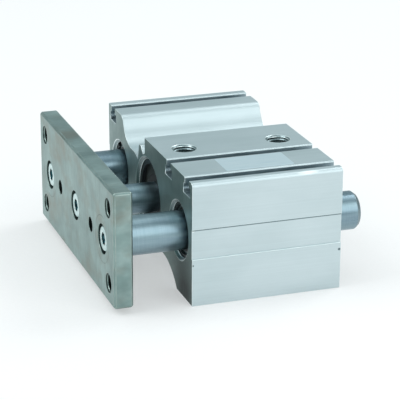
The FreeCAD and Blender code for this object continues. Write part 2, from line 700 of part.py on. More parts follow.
def make_piston_rod():
    """Piston rod: its rear spigot carries the piston and is threaded for the nut."""
    shoulder = f"({PISTON_FRONT} - {PLATE_BACK})"
    end = f"({shoulder} + piston_length - spigot_inset)"
    tail = [(end, "0"), (end, "spigot / 2 - end_chamfer"), (f"{end} - end_chamfer", "spigot / 2"),
            (shoulder, "spigot / 2"), (shoulder, "piston_rod / 2")]
    turned("piston_rod", rod_section("piston_rod", tail), PLATE_BACK)


def ring_groove(ring):
    """Corners of a piston ring's groove in a turned outline, walked towards -X."""
    rim, floor = "piston_diameter / 2", f"piston_diameter / 2 - {ring}_depth"
    far = f"{ring}_start + {ring}_width"
    return [(far, rim), (far, floor), (f"{ring}_start", floor), (f"{ring}_start", rim)]


def make_piston():
    """Piston with its seal, wear ring, magnet, O-ring, two bumpers and the nut that holds it."""
    nut_seat, dished = "(piston_length - nut_recess_depth)", "(piston_length - bumper_seat)"
    hole, gasket = "(spigot / 2 + seat_gap)", "(spigot / 2 + cord)"
    inside, outside = "bumper_inner / 2", "bumper_outer / 2"
    turned("piston", [
        ("cord", hole),
        (nut_seat, hole),
        (nut_seat, "nut_recess / 2"),
        ("piston_length", "nut_recess / 2"),
        ("piston_length", inside),
        (dished, inside),
        (dished, outside),
        ("piston_length", outside),
        ("piston_length", "piston_diameter / 2"),
        *ring_groove("magnet"),
        *ring_groove("wear"),
        *ring_groove("seal"),
        ("0", "piston_diameter / 2"),
        ("0", outside),
        ("bumper_seat", outside),
        ("bumper_seat", inside),
        ("0", inside),
        ("0", f"{gasket} + seat_gap"),
        ("cord", f"{gasket} + seat_gap"),
    ], PISTON_FRONT)
    wall = "bore - 2 * running_gap"
    for name, ring, outer in (("piston_seal", "seal", wall), ("wear_ring", "wear", wall),
                              ("magnet_ring", "magnet", "piston_diameter")):
        section = sleeve(f"({ring}_width - ring_play)", f"piston_diameter - 2 * {ring}_depth", outer)
        turned(name, section, f"{PISTON_FRONT} + {ring}_start + ring_play / 2")
    bumper = sleeve("bumper_length + bumper_seat", "bumper_inner", "bumper_outer", "bumper_edge")
    turned("front_bumper", bumper, f"{PISTON_FRONT} - bumper_length")
    turned("rear_bumper", bumper, f"{PISTON_FRONT} + {dished}")
    cord_ring("piston_o_ring", f"{PISTON_FRONT} + cord / 2", gasket)

    nut = new_body("piston_nut", f"{PISTON_FRONT} + {nut_seat}", "0", "axis_height")
    outline = add_sketch(nut, "YZ_Plane", "nut_outline")
    draw_outline(outline, hexagon("nut_across"))
    draw_circle(outline, "0", "0", "spigot + 2 * seat_gap")
    pad(nut, outline, "nut_height")


# ---------------------------------------------------------------- check and export

def check_document():
    """Stop if any object failed, or any sub-part is not a valid solid of some volume."""
    doc.recompute()
    for item in doc.Objects:
        if "Invalid" in item.State or "Error" in item.State:
            raise RuntimeError(f"{item.Label} failed: {item.State}")
    parts = [item for item in doc.Objects if item.TypeId in ("PartDesign::Body", "Part::Torus")]
    for part in parts:
        if part.Shape.isNull() or not part.Shape.isValid() or not part.Shape.Solids:
            raise RuntimeError(f"{part.Label} is not a valid solid")
    return parts


def export(parts):
    os.makedirs("parts", exist_ok=True)
    for part in parts:
        part.Shape.exportStep(f"parts/{part.Label}.step")


fill_sheet()
make_barrel()
make_front_cover()
make_rear_cover()
for hand, side, turn in (("left", "guide_offset", "guide_ring_turn"),
                         ("right", "-guide_offset", "180 - guide_ring_turn")):
    make_guide_bearings(hand, side, turn)
    make_guide_rod(hand, side)
make_plate()
make_plate_screws()
make_piston_rod()
make_piston()
export(check_document())
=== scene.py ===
"""Looks of a guided pneumatic cylinder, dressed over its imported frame. Lengths are in metres
unless a comment says millimetres."""

import json
import math

import bmesh
import bpy
from mathutils import Euler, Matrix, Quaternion, Vector


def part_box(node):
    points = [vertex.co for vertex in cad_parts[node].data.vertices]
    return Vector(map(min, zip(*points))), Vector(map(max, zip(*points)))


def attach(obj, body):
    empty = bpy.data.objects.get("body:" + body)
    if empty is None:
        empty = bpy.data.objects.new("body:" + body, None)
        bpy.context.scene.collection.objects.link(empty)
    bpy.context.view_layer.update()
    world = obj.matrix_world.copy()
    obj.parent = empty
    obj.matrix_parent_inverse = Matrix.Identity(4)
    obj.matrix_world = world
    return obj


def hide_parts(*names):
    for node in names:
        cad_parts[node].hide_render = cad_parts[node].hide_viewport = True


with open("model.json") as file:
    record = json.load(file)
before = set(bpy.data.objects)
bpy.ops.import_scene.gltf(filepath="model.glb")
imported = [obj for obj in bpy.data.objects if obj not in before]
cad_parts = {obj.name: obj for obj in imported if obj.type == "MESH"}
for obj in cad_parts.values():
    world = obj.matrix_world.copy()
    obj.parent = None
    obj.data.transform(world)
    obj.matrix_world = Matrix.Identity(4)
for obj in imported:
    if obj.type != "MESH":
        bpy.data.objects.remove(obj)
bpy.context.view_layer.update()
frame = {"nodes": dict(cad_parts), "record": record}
mounts = {mount["name"]: mount for mount in frame["record"]["mounts"]}

MM = 0.001
AXIS_HEIGHT = 33 * MM            # underside to the axis of rods and bore
GUIDE_OFFSET = 51 * MM           # centre axis to each guide rod
BARREL_TOP = 64 * MM
SAME_PLACE = 0.01 * MM           # two planes nearer than this are one
BOTH_SIDES = (-1, 1)
GRAIN_LOW, GRAIN_HIGH = 0.3, 0.7     # a grain stays mostly between these


# ---------------------------------------------------------------- nodes, colours and patterns

def srgb(code):
    """Turn an sRGB hex code into the linear colour that a shader takes."""
    parts = [int(code[i:i + 2], 16) / 255 for i in (1, 3, 5)]
    return [c / 12.92 if c <= 0.04045 else ((c + 0.055) / 1.055) ** 2.4 for c in parts] + [1]


def add_node(tree, kind, inputs=None, **settings):
    """Add a node. settings are its properties; inputs maps a socket to a value or to an output."""
    node = tree.nodes.new(kind)
    for name, setting in settings.items():
        setattr(node, name, setting)
    for name, given in (inputs or {}).items():
        if isinstance(given, bpy.types.NodeSocket):
            tree.links.new(given, node.inputs[name])
        else:
            node.inputs[name].default_value = given
    return node


def start_material(name):
    """Make an empty material and return it with its node tree."""
    material = bpy.data.materials.new(name)
    material.use_nodes = True
    material.node_tree.nodes.clear()
    return material, material.node_tree


def finish_material(tree, colour, roughness, metallic=1.0, relief=None):
    """Add the shader and the output. roughness is a number, or a pattern and the two values that
    it goes between; relief is a pattern, its depth in metres and its strength as bump."""
    sockets = {"Base Color": colour, "Metallic": metallic, "Roughness": roughness}
    if isinstance(roughness, tuple):
        pattern, low, high = roughness
        sockets["Roughness"] = add_node(tree, "ShaderNodeMapRange", {
            "Value": pattern, "From Min": GRAIN_LOW, "From Max": GRAIN_HIGH,
            "To Min": low, "To Max": high}).outputs[0]
    if relief:
        height, depth, strength = relief
        sockets["Normal"] = add_node(tree, "ShaderNodeBump", {
            "Height": height, "Distance": depth, "Strength": strength}).outputs[0]
    shader = add_node(tree, "ShaderNodeBsdfPrincipled", sockets)
    add_node(tree, "ShaderNodeOutputMaterial", {"Surface": shader.outputs[0]})


def grain(tree, size, detail=2.0, place=(0, 0, 0)):
    """Noise whose features measure size, three lengths in millimetres along X, Y and Z."""
    where = add_node(tree, "ShaderNodeTexCoord").outputs["Object"]
    scaled = add_node(tree, "ShaderNodeMapping", {
        "Vector": where, "Location": place, "Scale": [1 / (length * MM) for length in size]})
    return add_node(tree, "ShaderNodeTexNoise", {
        "Vector": scaled.outputs[0], "Scale": 1.0, "Detail": detail}).outputs["Fac"]


def tinted(tree, pattern, low, high, start=0.35, end=0.65):
    """Colour that goes from low to high as a pattern goes from start to end."""
    share = add_node(tree, "ShaderNodeMapRange", {
        "Value": pattern, "From Min": start, "From Max": end}).outputs[0]
    return add_node(tree, "ShaderNodeMix", {0: share, 6: srgb(low), 7: srgb(high)},
                    data_type="RGBA").outputs[2]


def clouded(tree, colour, pattern, veil):
    """The same colour, multiplied by one that goes from veil to white with a pattern."""
    shade = tinted(tree, pattern, veil, "#FFFFFF")
    return add_node(tree, "ShaderNodeMix", {0: 1.0, 6: colour, 7: shade}, data_type="RGBA",
                    blend_type="MULTIPLY").outputs[2]


def spot(tree, centre, reach, edge):
    """1 inside an ellipsoid with this centre and these half axes in millimetres, and 0 outside.
    edge is the share of the radius over which it fades."""
    where = add_node(tree, "ShaderNodeTexCoord").outputs["Object"]
    centred = add_node(tree, "ShaderNodeMapping", {
        "Vector": where, "Location": [-middle / length for middle, length in zip(centre, reach)],
        "Scale": [1 / (length * MM) for length in reach]}).outputs[0]
    radius = add_node(tree, "ShaderNodeVectorMath", {0: centred}, operation="LENGTH")
    return add_node(tree, "ShaderNodeMapRange", {
        "Value": radius.outputs["Value"], "From Min": 1 - edge, "From Max": 1.0,
        "To Min": 1.0, "To Max": 0.0}).outputs[0]


def marked(tree, colour, code, marks):
    """The same colour with marks of another. Each mark is a spot's centre, reach and edge."""
    for centre, reach, edge in marks:
        share = spot(tree, centre, reach, edge)
        colour = add_node(tree, "ShaderNodeMix", {0: share, 6: colour, 7: srgb(code)},
                          data_type="RGBA").outputs[2]
    return colour


def guide_radius(tree):
    """Distance from the axis of the nearer guide rod."""
    where = add_node(tree, "ShaderNodeTexCoord").outputs["Object"]
    parts = add_node(tree, "ShaderNodeSeparateXYZ", {0: where}).outputs
    side = add_node(tree, "ShaderNodeMath", {0: parts["Y"]}, operation="ABSOLUTE").outputs[0]
    across = add_node(tree, "ShaderNodeMath", {0: side, 1: GUIDE_OFFSET}, operation="SUBTRACT")
    up = add_node(tree, "ShaderNodeMath", {0: parts["Z"], 1: AXIS_HEIGHT}, operation="SUBTRACT")
    flat = add_node(tree, "ShaderNodeCombineXYZ", {"Y": across.outputs[0], "Z": up.outputs[0]})
    return add_node(tree, "ShaderNodeVectorMath", {0: flat.outputs[0]},
                    operation="LENGTH").outputs["Value"]


# ---------------------------------------------------------------- finishes

# Marks on the barrel: centre and half axes in millimetres, and the share over which each fades.
# Bright patches, partly polish and partly painted highlight: one on the near top edge, one on a chip
# at the front end of the near band's lip.
POLISH_AND_HIGHLIGHT = [((21, -71.6, 63.6), (7, 1.6, 1.2), 0.6),
                   ((-38.9, -71.8, 39.6), (1.5, 0.8, 0.9), 0.4)]
# Painted shade: dark spots at both ends of the near side, standing for small dents that the mesh
# does not have.
DENT_SHADE = [((38.6, -72, 21), (0.9, 0.8, 0.8), 0.4), ((-38.9, -72, 21.5), (0.5, 0.6, 0.6), 0.4)]
# Painted shade: a dark line along the upper lip of the recessed band on each long side.
LIP_SHADE = [((0, side * 71.6, 39.75), (400, 0.45, 0.5), 0.5) for side in BOTH_SIDES]
# Painted shade on the front end face, at the foot of the right column.
FOOT_SHADE = [((-39.5, -60, 2), (30, 26, 30), 0.8)]
# Arcs that a turned screw head leaves in the plate, in millimetres.
ARC_CENTRES = [(-79, side * 51, 33) for side in BOTH_SIDES]
ARC_OUTSIDE = (30, 12.4, 12.4)
ARC_INSIDE = (30, 12.0, 12.0)
ARC_EDGE = 0.03
WIPER_LIP = 11.2 * MM            # radius at which the wiper's rubber ends
WIPER_CASE = 11.3 * MM           # radius at which its steel case begins
WAVE_LENGTH = 0.314              # a wave texture of scale 1 repeats after this much of a unit


def anodised_extrusion():
    """Clear satin anodised 6063 aluminium as it comes from the die: soft wide highlights, with
    faint draw lines along X, polished places that also carry a painted highlight, painted shade
    in dents, and painted shade under the lip of the side bands."""
    material, tree = start_material("anodised_extrusion")
    # Draw lines lie about 0.1 mm apart on such a profile; drawn 0.9 mm wide so that they show.
    lines = grain(tree, (120, 0.9, 0.9), detail=3)
    clouds = grain(tree, (50, 22, 22), detail=3)
    colour = clouded(tree, tinted(tree, lines, "#CDDADD", "#D1DEE1"), clouds, "#F4F6F6")
    colour = marked(tree, colour, "#F3FAFA", POLISH_AND_HIGHLIGHT)
    colour = marked(tree, colour, "#66777B", DENT_SHADE)
    colour = marked(tree, colour, "#78898D", LIP_SHADE)
    finish_material(tree, colour, (lines, 0.46, 0.49), relief=(lines, 0.01 * MM, 0.25))
    return material


def sawn_anodised_end():
    """The same alloy, sawn and face-milled before anodising: dull grey, with fine tool marks,
    and painted shade at the foot of the right column."""
    material, tree = start_material("sawn_anodised_end")
    # Tool marks lie about 0.1 mm apart; drawn 0.5 mm wide so that they show.
    marks = grain(tree, (1, 0.5, 14), detail=3)
    clouds = grain(tree, (20, 14, 14), detail=3)
    colour = clouded(tree, tinted(tree, marks, "#98AAA8", "#A5B6B4"), clouds, "#E4E8E8")
    colour = marked(tree, colour, "#47504F", FOOT_SHADE)
    finish_material(tree, colour, (marks, 0.5, 0.58), relief=(marks, 0.02 * MM, 0.4))
    return material


def turned_aluminium():
    """Turned 6061 cover: fine concentric feed marks round the rod axis."""
    material, tree = start_material("turned_aluminium")
    where = add_node(tree, "ShaderNodeTexCoord").outputs["Object"]
    centred = add_node(tree, "ShaderNodeMapping", {
        "Vector": where, "Location": (0, 0, -AXIS_HEIGHT)}).outputs[0]
    # Feed marks are 0.1 mm apart; drawn 0.5 mm apart so that they show.
    rings = add_node(tree, "ShaderNodeTexWave", {
        "Vector": centred, "Scale": WAVE_LENGTH / (0.5 * MM), "Distortion": 0.4},
        wave_type="RINGS", rings_direction="X").outputs["Fac"]
    colour = tinted(tree, rings, "#4F5351", "#636764", 0.2, 0.8)
    finish_material(tree, colour, (rings, 0.46, 0.56), relief=(rings, 0.01 * MM, 0.4))
    return material


def ground_plated_steel():
    """Ground carbon steel under a thin dull nickel plate: clouded grey-green, with brownish
    stains, short grinding lines, and shallow arcs round the outer screws."""
    material, tree = start_material("ground_plated_steel")
    clouds = grain(tree, (26, 15, 12), detail=5)
    stains = grain(tree, (22, 20, 13), detail=4, place=(3, 1, 7))
    # Grinding grit leaves lines under 0.1 mm wide; drawn 0.5 mm wide so that they show.
    lines = grain(tree, (9, 0.5, 9))
    metal = tinted(tree, clouds, "#88A09D", "#A9BFBC", 0.34, 0.66)
    stained = add_node(tree, "ShaderNodeMapRange", {
        "Value": stains, "From Min": 0.48, "From Max": 0.68, "To Max": 0.6}).outputs[0]
    colour = add_node(tree, "ShaderNodeMix", {0: stained, 6: metal, 7: srgb("#8F8F82")},
                      data_type="RGBA").outputs[2]
    colour = clouded(tree, colour, lines, "#E8E8E8")
    # The stains' pattern also says where an arc has stayed.
    stayed = add_node(tree, "ShaderNodeMapRange", {
        "Value": stains, "From Min": 0.46, "From Max": 0.56, "To Max": 0.7}).outputs[0]
    for centre in ARC_CENTRES:
        ring = add_node(tree, "ShaderNodeMath", {
            0: spot(tree, centre, ARC_OUTSIDE, ARC_EDGE),
            1: spot(tree, centre, ARC_INSIDE, ARC_EDGE)}, operation="SUBTRACT").outputs[0]
        arc = add_node(tree, "ShaderNodeMath", {0: ring, 1: stayed}, operation="MULTIPLY")
        colour = add_node(tree, "ShaderNodeMix", {
            0: arc.outputs[0], 6: colour, 7: srgb("#5F6B69")}, data_type="RGBA").outputs[2]
    finish_material(tree, colour, (clouds, 0.38, 0.52), relief=(lines, 0.02 * MM, 0.5))
    return material


def hard_chrome():
    """Hard chromed and ground rod: a blue-grey mirror, blurred by hair-fine grinding lines
    round it and by a thin film of oil."""
    material, tree = start_material("hard_chrome")
    # Grinding lines are under 0.01 mm wide; drawn 0.6 mm wide so that they show.
    rings = grain(tree, (0.6, 30, 30))
    film = grain(tree, (40, 3, 3), detail=3)
    colour = clouded(tree, tinted(tree, rings, "#90A8B0", "#98AFB7"), film, "#E2E4EA")
    finish_material(tree, colour, (film, 0.27, 0.37), relief=(rings, 0.004 * MM, 0.25))
    return material


def turned_rod_end():
    """Faced and chamfered end of a guide rod: bare grey steel with rings from the lathe."""
    material, tree = start_material("turned_rod_end")
    # The tool leaves rings 0.15 mm apart; drawn 0.8 mm apart so that they show.
    turns = add_node(tree, "ShaderNodeMath", {
        0: guide_radius(tree), 1: 2 * math.pi / (0.8 * MM)}, operation="MULTIPLY").outputs[0]
    wave = add_node(tree, "ShaderNodeMath", {0: turns}, operation="SINE").outputs[0]
    rings = add_node(tree, "ShaderNodeMapRange", {
        "Value": wave, "From Min": -1.0, "From Max": 1.0}).outputs[0]
    colour = tinted(tree, rings, "#77888E", "#8E9EA3", 0.1, 0.9)
    finish_material(tree, colour, (rings, 0.34, 0.44), relief=(rings, 0.01 * MM, 0.3))
    return material


def phosphated_spring_steel():
    """Stamped spring steel with a black phosphate skin: dark, dry and finely crystalline."""
    material, tree = start_material("phosphated_spring_steel")
    # Crystals measure about 0.01 mm; drawn 0.4 mm wide so that they show.
    crystals = grain(tree, (0.4, 0.4, 0.4))
    finish_material(tree, tinted(tree, crystals, "#3A4042", "#565D60"), 0.42, metallic=0.8,
                    relief=(crystals, 0.02 * MM, 1.0))
    return material


def sintered_bronze():
    """Oil-filled sintered bronze: warm brown metal, dulled by its open pores."""
    material, tree = start_material("sintered_bronze")
    # Pores measure about 0.05 mm; drawn 0.3 mm wide so that they show.
    pores = grain(tree, (0.3, 0.3, 0.3), detail=3)
    finish_material(tree, tinted(tree, pores, "#6E5230", "#A8834F"), (pores, 0.55, 0.38),
                    relief=(pores, 0.03 * MM, 1.0))
    return material


def cased_wiper():
    """Rod wiper: a pressed steel case, grey and dull, round a black rubber lip."""
    material, tree = start_material("cased_wiper")
    case = add_node(tree, "ShaderNodeMapRange", {
        "Value": guide_radius(tree), "From Min": WIPER_LIP, "From Max": WIPER_CASE}).outputs[0]
    # The pressed skin is rough by about 0.1 mm; drawn 0.8 mm wide so that it shows.
    steel = tinted(tree, grain(tree, (0.8, 0.8, 0.8), detail=3), "#8A9A9D", "#A2B0B2")
    colour = add_node(tree, "ShaderNodeMix", {0: case, 6: srgb("#141517"), 7: steel},
                      data_type="RGBA").outputs[2]
    finish_material(tree, colour, 0.42, metallic=case)
    return material


def moulded(name, low, high, roughness):
    """A moulded skin with the cloudy grain that the mould leaves: about 0.1 mm wide, drawn
    0.6 mm wide so that it shows."""
    material, tree = start_material(name)
    skin = grain(tree, (0.6, 0.6, 0.6), detail=3)
    finish_material(tree, tinted(tree, skin, low, high), roughness, metallic=0.0,
                    relief=(skin, 0.02 * MM, 0.5))
    return material


def plain_metal(name, size, low, high, roughness, detail=2.0, metallic=1.0):
    """A metal whose colour and roughness follow one grain, its size in millimetres."""
    material, tree = start_material(name)
    pattern = grain(tree, size, detail)
    finish_material(tree, tinted(tree, pattern, low, high), (pattern, *roughness), metallic)
    return material


# Aluminium cut bright after anodising, in chamfers and bores: clean metal with turning rings,
# which are 0.1 mm apart and drawn 0.4 mm apart so that they show.
CUT_ALUMINIUM = plain_metal("cut_aluminium", (0.4, 20, 20), "#748588", "#8D9EA1", (0.26, 0.36))
# The extrusion inside its slots, which no hand or cloth reaches: the same film, dulled by settled
# dust and a trace of oil, and darkened further by painted shade.
SLOT_DUST_AND_SHADE = plain_metal("slot_dust_and_shade", (9, 2, 2), "#8C9FA6", "#A1B2B8", (0.42, 0.54), detail=3)
# Extrusion edges: polished by handling and lit with a painted highlight, brighter and smoother.
EDGE_WEAR_AND_HIGHLIGHT = plain_metal("edge_wear_and_highlight", (6, 6, 6), "#D2E3E4", "#EAF3F3", (0.3, 0.4))
# Plate edges where the plating is rubbed thin: paler and smoother than the faces.
WORN_PLATE_EDGE = plain_metal("worn_plate_edge", (5, 5, 5), "#899D98", "#A5B6B1", (0.34, 0.46),
                              detail=3)
# Walls of the plate's holes and recesses, and their threads: steel darkened by painted shade,
# with the drill's rings, which are 0.2 mm apart and drawn 0.5 mm apart so that they show.
HOLE_SHADE = plain_metal("painted_hole_shade", (0.5, 10, 10), "#2E3635", "#4B5654", (0.32, 0.46))
# Bright zinc plate with blue passivation, as on socket screws: pale, with a teal cast.
BLUE_ZINC = plain_metal("blue_zinc", (2, 2, 2), "#B4D2D2", "#DCEEEC", (0.24, 0.36))
# Hexagon socket of a zinc plated screw: the same film, dark teal with oil and painted shade.
SOCKET_OIL_AND_SHADE = plain_metal("socket_oil_and_shade", (1.5, 1.5, 1.5), "#1C393F", "#3E6C73",
                           (0.2, 0.34))
# Self-adhesive label of silver polyester foil, left bare: faintly brushed along X, in lines
# 0.05 mm wide that are drawn 0.4 mm wide so that they show.
SILVER_FOIL = plain_metal("silver_foil", (14, 0.4, 4), "#DDF0F7", "#E8F6FB", (0.36, 0.42),
                          metallic=0.9)
WIPER = cased_wiper()
ROD_END = turned_rod_end()
FINISHES = {
    "anodised_barrel": anodised_extrusion(),
    "machined_aluminium": turned_aluminium(),
    "ground_steel": ground_plated_steel(),
    "chromed_steel": hard_chrome(),
    "zinc_steel": BLUE_ZINC,
    "spring_steel": phosphated_spring_steel(),
    "bronze": sintered_bronze(),
    # Nitrile rubber: near black and dull, with a faint bloom.
    "black_rubber": moulded("nitrile_rubber", "#161719", "#26282A", 0.5),
    # Cast polyurethane: brown, a little waxy.
    "bumper_rubber": moulded("cast_urethane", "#4A2A1C", "#63402C", 0.4),
    # Resin wear strip filled with fibre: dull charcoal.
    "wear_plastic": moulded("filled_resin", "#2C2C2D", "#3B3B3C", 0.55),
    # Bonded ferrite: dull brown-black.
    "magnet": moulded("bonded_ferrite", "#221F1E", "#322D2B", 0.6),
}

for subpart in frame["record"]["subparts"]:
    node_name = subpart["node"]
    own_finish = WIPER if node_name.startswith("guide_wiper") else FINISHES[subpart["material_slot"]]
    for slot in frame["nodes"][node_name].material_slots:
        slot.material = own_finish


# ---------------------------------------------------------------- dressed pieces

DOUBLES = 0.001 * MM             # corners nearer than this are merged
FLAT = math.radians(0.2)         # triangles that meet flatter than this become one face
SHARP = math.radians(28)         # an outer edge is softened from this angle on
# How far a face's normal points along X, from 0 to 1.
FULLY_ALONG = 0.99               # a face square to the rods
BARELY_ALONG = 0.01              # above this, a face of the barrel was cut after extrusion
ROD_END_SLOPE = 0.3              # above this, a face of a rod belongs to its end
BORES = [(0, 22 * MM), (GUIDE_OFFSET, 15 * MM), (-GUIDE_OFFSET, 15 * MM)]     # centre, reach
SLOT_CENTRES = [mounts["tee_slot_" + name]["pos_m"][1]
                for name in ("left_outer", "right_inner", "right_outer")]
SLOT_HALF_WIDTH = 5.3 * MM
SLOT_FLOOR = 55 * MM
SLOT_LIP = BARREL_TOP - 0.9 * MM
HOLES_HALF_WIDTH = 66 * MM       # all of the plate's holes lie within this of the rod axis
HOLES_HALF_HEIGHT = 25 * MM
SOCKET_REACH = 3.6 * MM          # radius that holds a screw's hexagon socket
SOCKET_DEPTH = 4 * MM
SOCKET_RIM = 0.05 * MM
barrel_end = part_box("barrel_body")[1].x
head_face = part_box("plate_screws")[0].x
plate_front, plate_back = (corner.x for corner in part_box("mounting_plate"))


def place_piece(name, mesh, body):
    """Put a finished mesh in the scene as a piece that rides on a body."""
    piece = bpy.data.objects.new(name, mesh)
    bpy.context.scene.collection.objects.link(piece)
    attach(piece, body)
    return piece


def dressed_copy(node, name, body, materials, sorter, edge_width):
    """Copy a CAD node as one clean mesh with softened outer edges, and let it stand for the node.
    sorter gives each face its material's number; the last material is the softened edges'."""
    shell = bmesh.new()
    shell.from_mesh(frame["nodes"][node].data)
    bmesh.ops.remove_doubles(shell, verts=shell.verts, dist=DOUBLES)
    bmesh.ops.dissolve_limit(shell, angle_limit=FLAT, verts=shell.verts, edges=shell.edges)
    weight = shell.edges.layers.float.new("bevel_weight_edge")
    for edge in shell.edges:
        if edge.is_convex and edge.calc_face_angle(0) > SHARP:
            edge[weight] = 1.0
    for face in shell.faces:
        face.smooth = True
        face.material_index = sorter(face)
    mesh = bpy.data.meshes.new(name)
    # The materials go in before the faces, so that the faces keep their numbers.
    for material in materials:
        mesh.materials.append(material)
    shell.to_mesh(mesh)
    shell.free()
    piece = place_piece(name, mesh, body)
    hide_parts(node)
    bevel = piece.modifiers.new("softened_edges", "BEVEL")
    bevel.width = edge_width
    bevel.segments = 2
    bevel.limit_method = "WEIGHT"
    bevel.use_clamp_overlap = False
    bevel.material = len(materials) - 1
    piece.modifiers.new("even_shading", "WEIGHTED_NORMAL").keep_sharp = True


def barrel_finish(face):
    """0 on the extruded skin, 1 on the sawn ends, 2 on bores, chamfers and other cut faces,
    3 inside the tee slots."""
    along = abs(face.normal.x)
    middle = face.calc_center_median()
    if along > FULLY_ALONG and abs(abs(middle.x) - barrel_end) < SAME_PLACE:
        return 1
    in_bore = any(math.hypot(middle.y - centre, middle.z - AXIS_HEIGHT) < reach
                  for centre, reach in BORES)
    if along > BARELY_ALONG or in_bore:
        return 2
    in_slot = SLOT_FLOOR < middle.z < SLOT_LIP and any(
        abs(middle.y - centre) < SLOT_HALF_WIDTH for centre in SLOT_CENTRES)
    return 3 if in_slot else 0


def plate_finish(face):
    """0 on the plate's outside, 1 on the walls and floors of its holes and recesses."""
    middle = face.calc_center_median()
    near_holes = (abs(middle.y) < HOLES_HALF_WIDTH
                  and abs(middle.z - AXIS_HEIGHT) < HOLES_HALF_HEIGHT)
    on_outside = abs(face.normal.x) > FULLY_ALONG and any(
        abs(middle.x - plane) < SAME_PLACE for plane in (plate_front, plate_back))
    return 1 if near_holes and not on_outside else 0


def rod_finish(face):
    """0 on a rod's ground side, 1 on its turned ends and chamfers."""
    return 1 if abs(face.normal.x) > ROD_END_SLOPE else 0


def screw_finish(face):
    """0 on a screw's outside, 1 in its socket."""
    middle = face.calc_center_median()
    from_axis = min(math.hypot(middle.y - side, middle.z - AXIS_HEIGHT)
                    for side in (0, GUIDE_OFFSET, -GUIDE_OFFSET))
    in_socket = SOCKET_RIM < middle.x - head_face < SOCKET_DEPTH and from_axis < SOCKET_REACH
    return 1 if in_socket else 0


dressed_copy("barrel_body", "barrel", "cylinder",
             [FINISHES["anodised_barrel"], sawn_anodised_end(), CUT_ALUMINIUM, SLOT_DUST_AND_SHADE,
              EDGE_WEAR_AND_HIGHLIGHT], barrel_finish, edge_width=0.25 * MM)
dressed_copy("mounting_plate", "front_plate", "carriage",
             [FINISHES["ground_steel"], HOLE_SHADE, WORN_PLATE_EDGE], plate_finish,
             edge_width=0.3 * MM)
dressed_copy("plate_screws", "socket_screws", "carriage",
             [BLUE_ZINC, SOCKET_OIL_AND_SHADE, BLUE_ZINC], screw_finish, edge_width=0.12 * MM)
for rod, rod_name in (("guide_rod_left", "left_guide"), ("guide_rod_right", "right_guide"),
                      ("piston_rod", "centre_rod")):
    dressed_copy(rod, rod_name, "carriage",
                 [FINISHES["chromed_steel"], ROD_END, ROD_END], rod_finish, edge_width=0.15 * MM)


# ---------------------------------------------------------------- threads

TURN_STEPS = 28                  # straight pieces in one turn of a thread
RIDGE_CORNERS = 4                # a ridge is square in section and stands on its corner
UPRIGHT = (0, 0, 0)
ALONG_X = (0, math.radians(90), 0)
# Where each thread starts, from the face that its hole is in.
PORT_DEPTH = 11.4 * MM
BASE_DEPTH = 0.7 * MM
REAR_DEPTH = 14 * MM
PLATE_DEPTH = 1.6 * MM


def thread_tree():
    """Geometry Nodes for the ridge of an internal thread, wound up from each point of a mesh."""
    tree = bpy.data.node_groups.new("internal_thread", "GeometryNodeTree")
    tree.interface.new_socket("Geometry", in_out="INPUT", socket_type="NodeSocketGeometry")
    tree.interface.new_socket("Geometry", in_out="OUTPUT", socket_type="NodeSocketGeometry")
    for size in ("Core Radius", "Pitch", "Turns", "Ridge"):
        socket = tree.interface.new_socket(size, in_out="INPUT", socket_type="NodeSocketFloat")
        socket.min_value = 0.0
    tree.interface.new_socket("Direction", in_out="INPUT", socket_type="NodeSocketVector")
    tree.interface.new_socket("Finish", in_out="INPUT", socket_type="NodeSocketMaterial")
    given = tree.nodes.new("NodeGroupInput").outputs
    rise = add_node(tree, "ShaderNodeMath", {0: given["Pitch"], 1: given["Turns"]},
                    operation="MULTIPLY").outputs[0]
    helix = add_node(tree, "GeometryNodeCurveSpiral", {
        "Resolution": TURN_STEPS, "Rotations": given["Turns"],
        "Start Radius": given["Core Radius"], "End Radius": given["Core Radius"],
        "Height": rise}).outputs[0]
    section = add_node(tree, "GeometryNodeCurvePrimitiveCircle", {
        "Resolution": RIDGE_CORNERS, "Radius": given["Ridge"]}).outputs[0]
    ridge = add_node(tree, "GeometryNodeCurveToMesh", {
        "Curve": helix, "Profile Curve": section, "Fill Caps": True}).outputs[0]
    wound = add_node(tree, "GeometryNodeInstanceOnPoints", {
        "Points": given["Geometry"], "Instance": ridge, "Rotation": given["Direction"]}).outputs[0]
    solid = add_node(tree, "GeometryNodeRealizeInstances", {"Geometry": wound}).outputs[0]
    painted = add_node(tree, "GeometryNodeSetMaterial", {
        "Geometry": solid, "Material": given["Finish"]}).outputs[0]
    tree.links.new(painted, tree.nodes.new("NodeGroupOutput").inputs[0])
    return tree


windings = thread_tree()


def wind_thread(starts, radius, pitch, turns, ridge, direction, finish):
    """Wind one thread up from each start, and return the plain mesh. radius, pitch and ridge,
    which is half the thread's width, are in millimetres."""
    points = bpy.data.meshes.new("thread_starts")
    points.from_pydata(starts, [], [])
    holder = bpy.data.objects.new("thread_starts", points)
    bpy.context.scene.collection.objects.link(holder)
    maker = holder.modifiers.new("threads", "NODES")
    maker.node_group = windings
    sizes = {"Core Radius": radius * MM, "Pitch": pitch * MM, "Turns": turns, "Ridge": ridge * MM,
             "Direction": direction, "Finish": finish}
    for item in windings.interface.items_tree:
        if item.in_out == "INPUT" and item.name in sizes:
            maker[item.identifier] = sizes[item.name]
    evaluated = holder.evaluated_get(bpy.context.evaluated_depsgraph_get())
    made = bpy.data.meshes.new_from_object(evaluated)
    bpy.data.objects.remove(holder)
    bpy.data.meshes.remove(points)
    return made


def join_meshes(name, meshes, material):
    """One mesh out of several that share a material, with their faces turned outwards."""
    whole = bmesh.new()
    for mesh in meshes:
        whole.from_mesh(mesh)
        bpy.data.meshes.remove(mesh)
    bmesh.ops.recalc_face_normals(whole, faces=whole.faces)
    for face in whole.faces:
        face.smooth = False
        face.material_index = 0
    joined = bpy.data.meshes.new(name)
    joined.materials.append(material)
    whole.to_mesh(joined)
    whole.free()
    return joined


